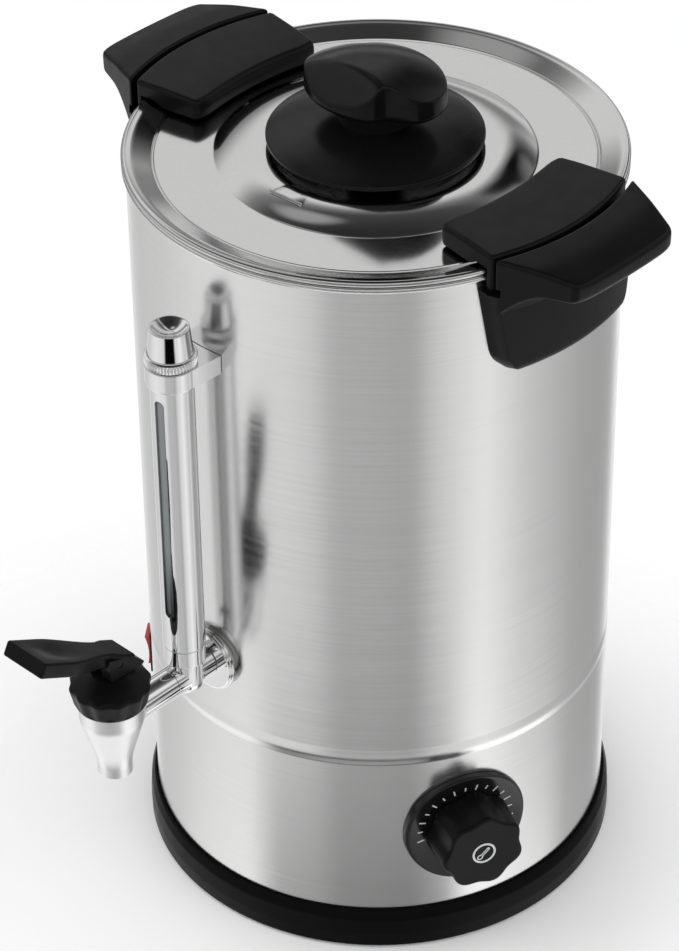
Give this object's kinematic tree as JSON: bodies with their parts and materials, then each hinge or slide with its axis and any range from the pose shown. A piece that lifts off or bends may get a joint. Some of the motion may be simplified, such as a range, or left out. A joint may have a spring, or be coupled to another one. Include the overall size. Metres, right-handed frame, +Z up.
{
  "type": "electric hot water kettle with tap",
  "caption": "Tall stainless water or brew kettle with a lift-off lid, side handles, lever tap, sight gauge, dial thermostat and rocker switch.",
  "frame": {"origin": "middle of the whole outline at the level of the feet, where the kettle stands", "axes": "+Z up; -Y is the side with the tap; the two handles lie on +X and -X"},
  "size_m": [0.3124, 0.3606, 0.45],
  "materials": {
    "satin_steel": "brushed stainless sheet",
    "polished_steel": "polished stainless steel",
    "chrome": "bright chrome plating",
    "black_moulding": "black moulded plastic, satin",
    "silicone": "translucent silicone",
    "rubber": "matt black rubber",
    "glass": "clear glass tube",
    "red_rocker": "red gloss plastic",
    "aluminium": "die-cast",
    "zinc_steel": "zinc-plated steel"
  },
  "bodies": {
    "kettle": {"base_plate": "zinc_steel", "base_ring": "black_moulding", "base_screw_1": "zinc_steel", "base_screw_2": "zinc_steel", "base_screw_3": "zinc_steel", "base_screw_4": "zinc_steel", "boil_dry_cutout": "aluminium", "capillary_sensor": "zinc_steel", "dial_bezel": "black_moulding", "foot_1": "rubber", "foot_2": "rubber", "foot_3": "rubber", "foot_4": "rubber", "gauge_glass": "glass", "gauge_guard": "chrome", "gauge_head": "chrome", "gauge_screw": "zinc_steel", "gauge_seal_lower": "silicone", "handle_left": "black_moulding", "handle_right": "black_moulding", "handle_screw_left": "zinc_steel", "handle_screw_right": "zinc_steel", "handle_strap_left": "satin_steel", "handle_strap_right": "satin_steel", "heater_plate": "aluminium", "heating_element": "zinc_steel", "inlet_screw_1": "zinc_steel", "inlet_screw_2": "zinc_steel", "power_inlet": "black_moulding", "switch_housing": "black_moulding", "tank_floor": "satin_steel", "tank_wall": "satin_steel", "tap_body": "chrome", "tap_bonnet": "black_moulding", "tap_flange": "chrome", "tap_lock_nut": "satin_steel", "tap_washer_inner": "silicone", "tap_washer_outer": "silicone", "tee_body": "chrome", "thermostat_body": "zinc_steel", "thermostat_screw_1": "zinc_steel", "thermostat_screw_2": "zinc_steel"},
    "lid_seat": {"lid_seal": "silicone"},
    "lid": {"lid_pan": "polished_steel", "lid_ear_right": "black_moulding", "lid_ear_left": "black_moulding", "ear_screw_right": "zinc_steel", "ear_screw_left": "zinc_steel", "knob_skirt": "black_moulding", "knob_grip": "black_moulding", "knob_screw": "zinc_steel"},
    "spindle": {"tap_spindle": "polished_steel", "seat_plug": "silicone", "lever_pin": "polished_steel"},
    "lever": {"tap_lever": "black_moulding"},
    "dial": {"thermostat_spindle": "zinc_steel", "thermostat_knob": "black_moulding"},
    "rocker": {"switch_rocker": "red_rocker"},
    "cap_seal": {"gauge_seal_upper": "silicone"},
    "cap": {"gauge_cap": "chrome"}
  },
  "joints": [
    {"name": "lid_lift", "type": "slide", "parent": "kettle", "child": "lid_seat", "axis": [0, 0, 1], "range_m": [0, 0.12]},
    {"name": "lid_turn", "type": "hinge", "parent": "lid_seat", "child": "lid", "pos_m": [0, 0.05788, 0.402], "axis": [0, 0, 1], "range_deg": [0, 14]},
    {"name": "spindle_lift", "type": "slide", "parent": "kettle", "child": "spindle", "axis": [0, 0, 1], "range_m": [0, 0.0045]},
    {"name": "lever_press", "type": "hinge", "parent": "spindle", "child": "lever", "pos_m": [0, -0.12732, 0.2022], "axis": [1, 0, 0], "range_deg": [0, 30], "stiffness_Nm_per_rad": 0.8, "springref_deg": -14.32},
    {"name": "thermostat_turn", "type": "hinge", "parent": "kettle", "child": "dial", "pos_m": [0.11021, 0.00649, 0.0742], "axis": [0.9063, -0.4226, 0], "range_deg": [-270, 0]},
    {"name": "rocker_tilt", "type": "hinge", "parent": "kettle", "child": "rocker", "pos_m": [-0.09412, -0.01672, 0.093], "axis": [0.6211, -0.7837, 0], "range_deg": [-16, 0]},
    {"name": "cap_rise", "type": "slide", "parent": "kettle", "child": "cap_seal", "axis": [0, 0, 1], "range_m": [0, 0.002]},
    {"name": "cap_turn", "type": "hinge", "parent": "cap_seal", "child": "cap", "pos_m": [0, -0.07841, 0.3478], "axis": [0, 0, 1], "range_deg": [0, 720]}
  ],
  "couplings": [
    {"joint": "spindle_lift", "follows": "lever_press", "m_per_rad": 0.008594},
    {"joint": "cap_rise", "follows": "cap_turn", "m_per_rad": 0.00015915}
  ]
}
